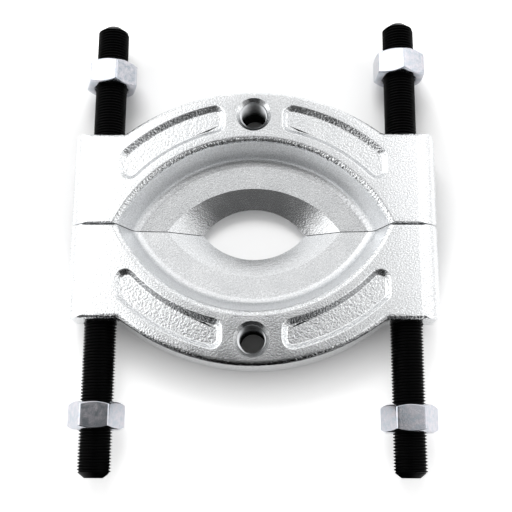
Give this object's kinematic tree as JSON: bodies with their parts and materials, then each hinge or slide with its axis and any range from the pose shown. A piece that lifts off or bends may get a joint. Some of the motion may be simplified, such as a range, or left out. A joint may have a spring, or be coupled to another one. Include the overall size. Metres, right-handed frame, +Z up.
{
  "type": "bearing separator",
  "caption": "Dished half plates with a knife-edged opening, drawn together on threaded studs by hexagon nuts to grip behind a bearing and pull it off its shaft.",
  "frame": {"origin": "middle of the closed opening, halfway between the two puller holes, on the plane that the plates lie on", "axes": "+X along the split between the plates, +Y along the studs towards the far plate, +Z up out of the dished side"},
  "size_m": [0.182, 0.233, 0.028],
  "materials": {
    "plated_forging": "satin silver plating over a fine-grained forged steel skin",
    "black_stud": "black oxide with a slight oil sheen",
    "zinc_nut": "bright zinc plating"
  },
  "bodies": {
    "near_jaw": {"near_jaw": "plated_forging"},
    "far_jaw": {"far_jaw": "plated_forging"},
    "left_stud": {"left_stud": "black_stud"},
    "right_stud": {"right_stud": "black_stud"},
    "left_far_nut": {"left_far_nut": "zinc_nut"},
    "right_far_nut": {"right_far_nut": "zinc_nut"},
    "left_near_nut": {"left_near_nut": "zinc_nut"},
    "right_near_nut": {"right_near_nut": "zinc_nut"}
  },
  "joints": [
    {"name": "plates_open", "type": "slide", "parent": "near_jaw", "child": "far_jaw", "axis": [0, 1, 0], "range_m": [0, 0.027]},
    {"name": "left_stud_slide", "type": "slide", "parent": "near_jaw", "child": "left_stud", "axis": [0, 1, 0], "range_m": [-0.0271, 0.0367]},
    {"name": "right_stud_slide", "type": "slide", "parent": "near_jaw", "child": "right_stud", "axis": [0, 1, 0], "range_m": [-0.0321, 0.0373]},
    {"name": "left_far_nut_travel", "type": "slide", "parent": "left_stud", "child": "left_far_nut", "axis": [0, -1, 0], "range_m": [-0.0185, 0.0271]},
    {"name": "right_far_nut_travel", "type": "slide", "parent": "right_stud", "child": "right_far_nut", "axis": [0, -1, 0], "range_m": [-0.0145, 0.0308]},
    {"name": "left_near_nut_travel", "type": "slide", "parent": "left_stud", "child": "left_near_nut", "axis": [0, -1, 0], "range_m": [-0.0367, 0.0197]},
    {"name": "right_near_nut_travel", "type": "slide", "parent": "right_stud", "child": "right_near_nut", "axis": [0, -1, 0], "range_m": [-0.0373, 0.0181]}
  ]
}
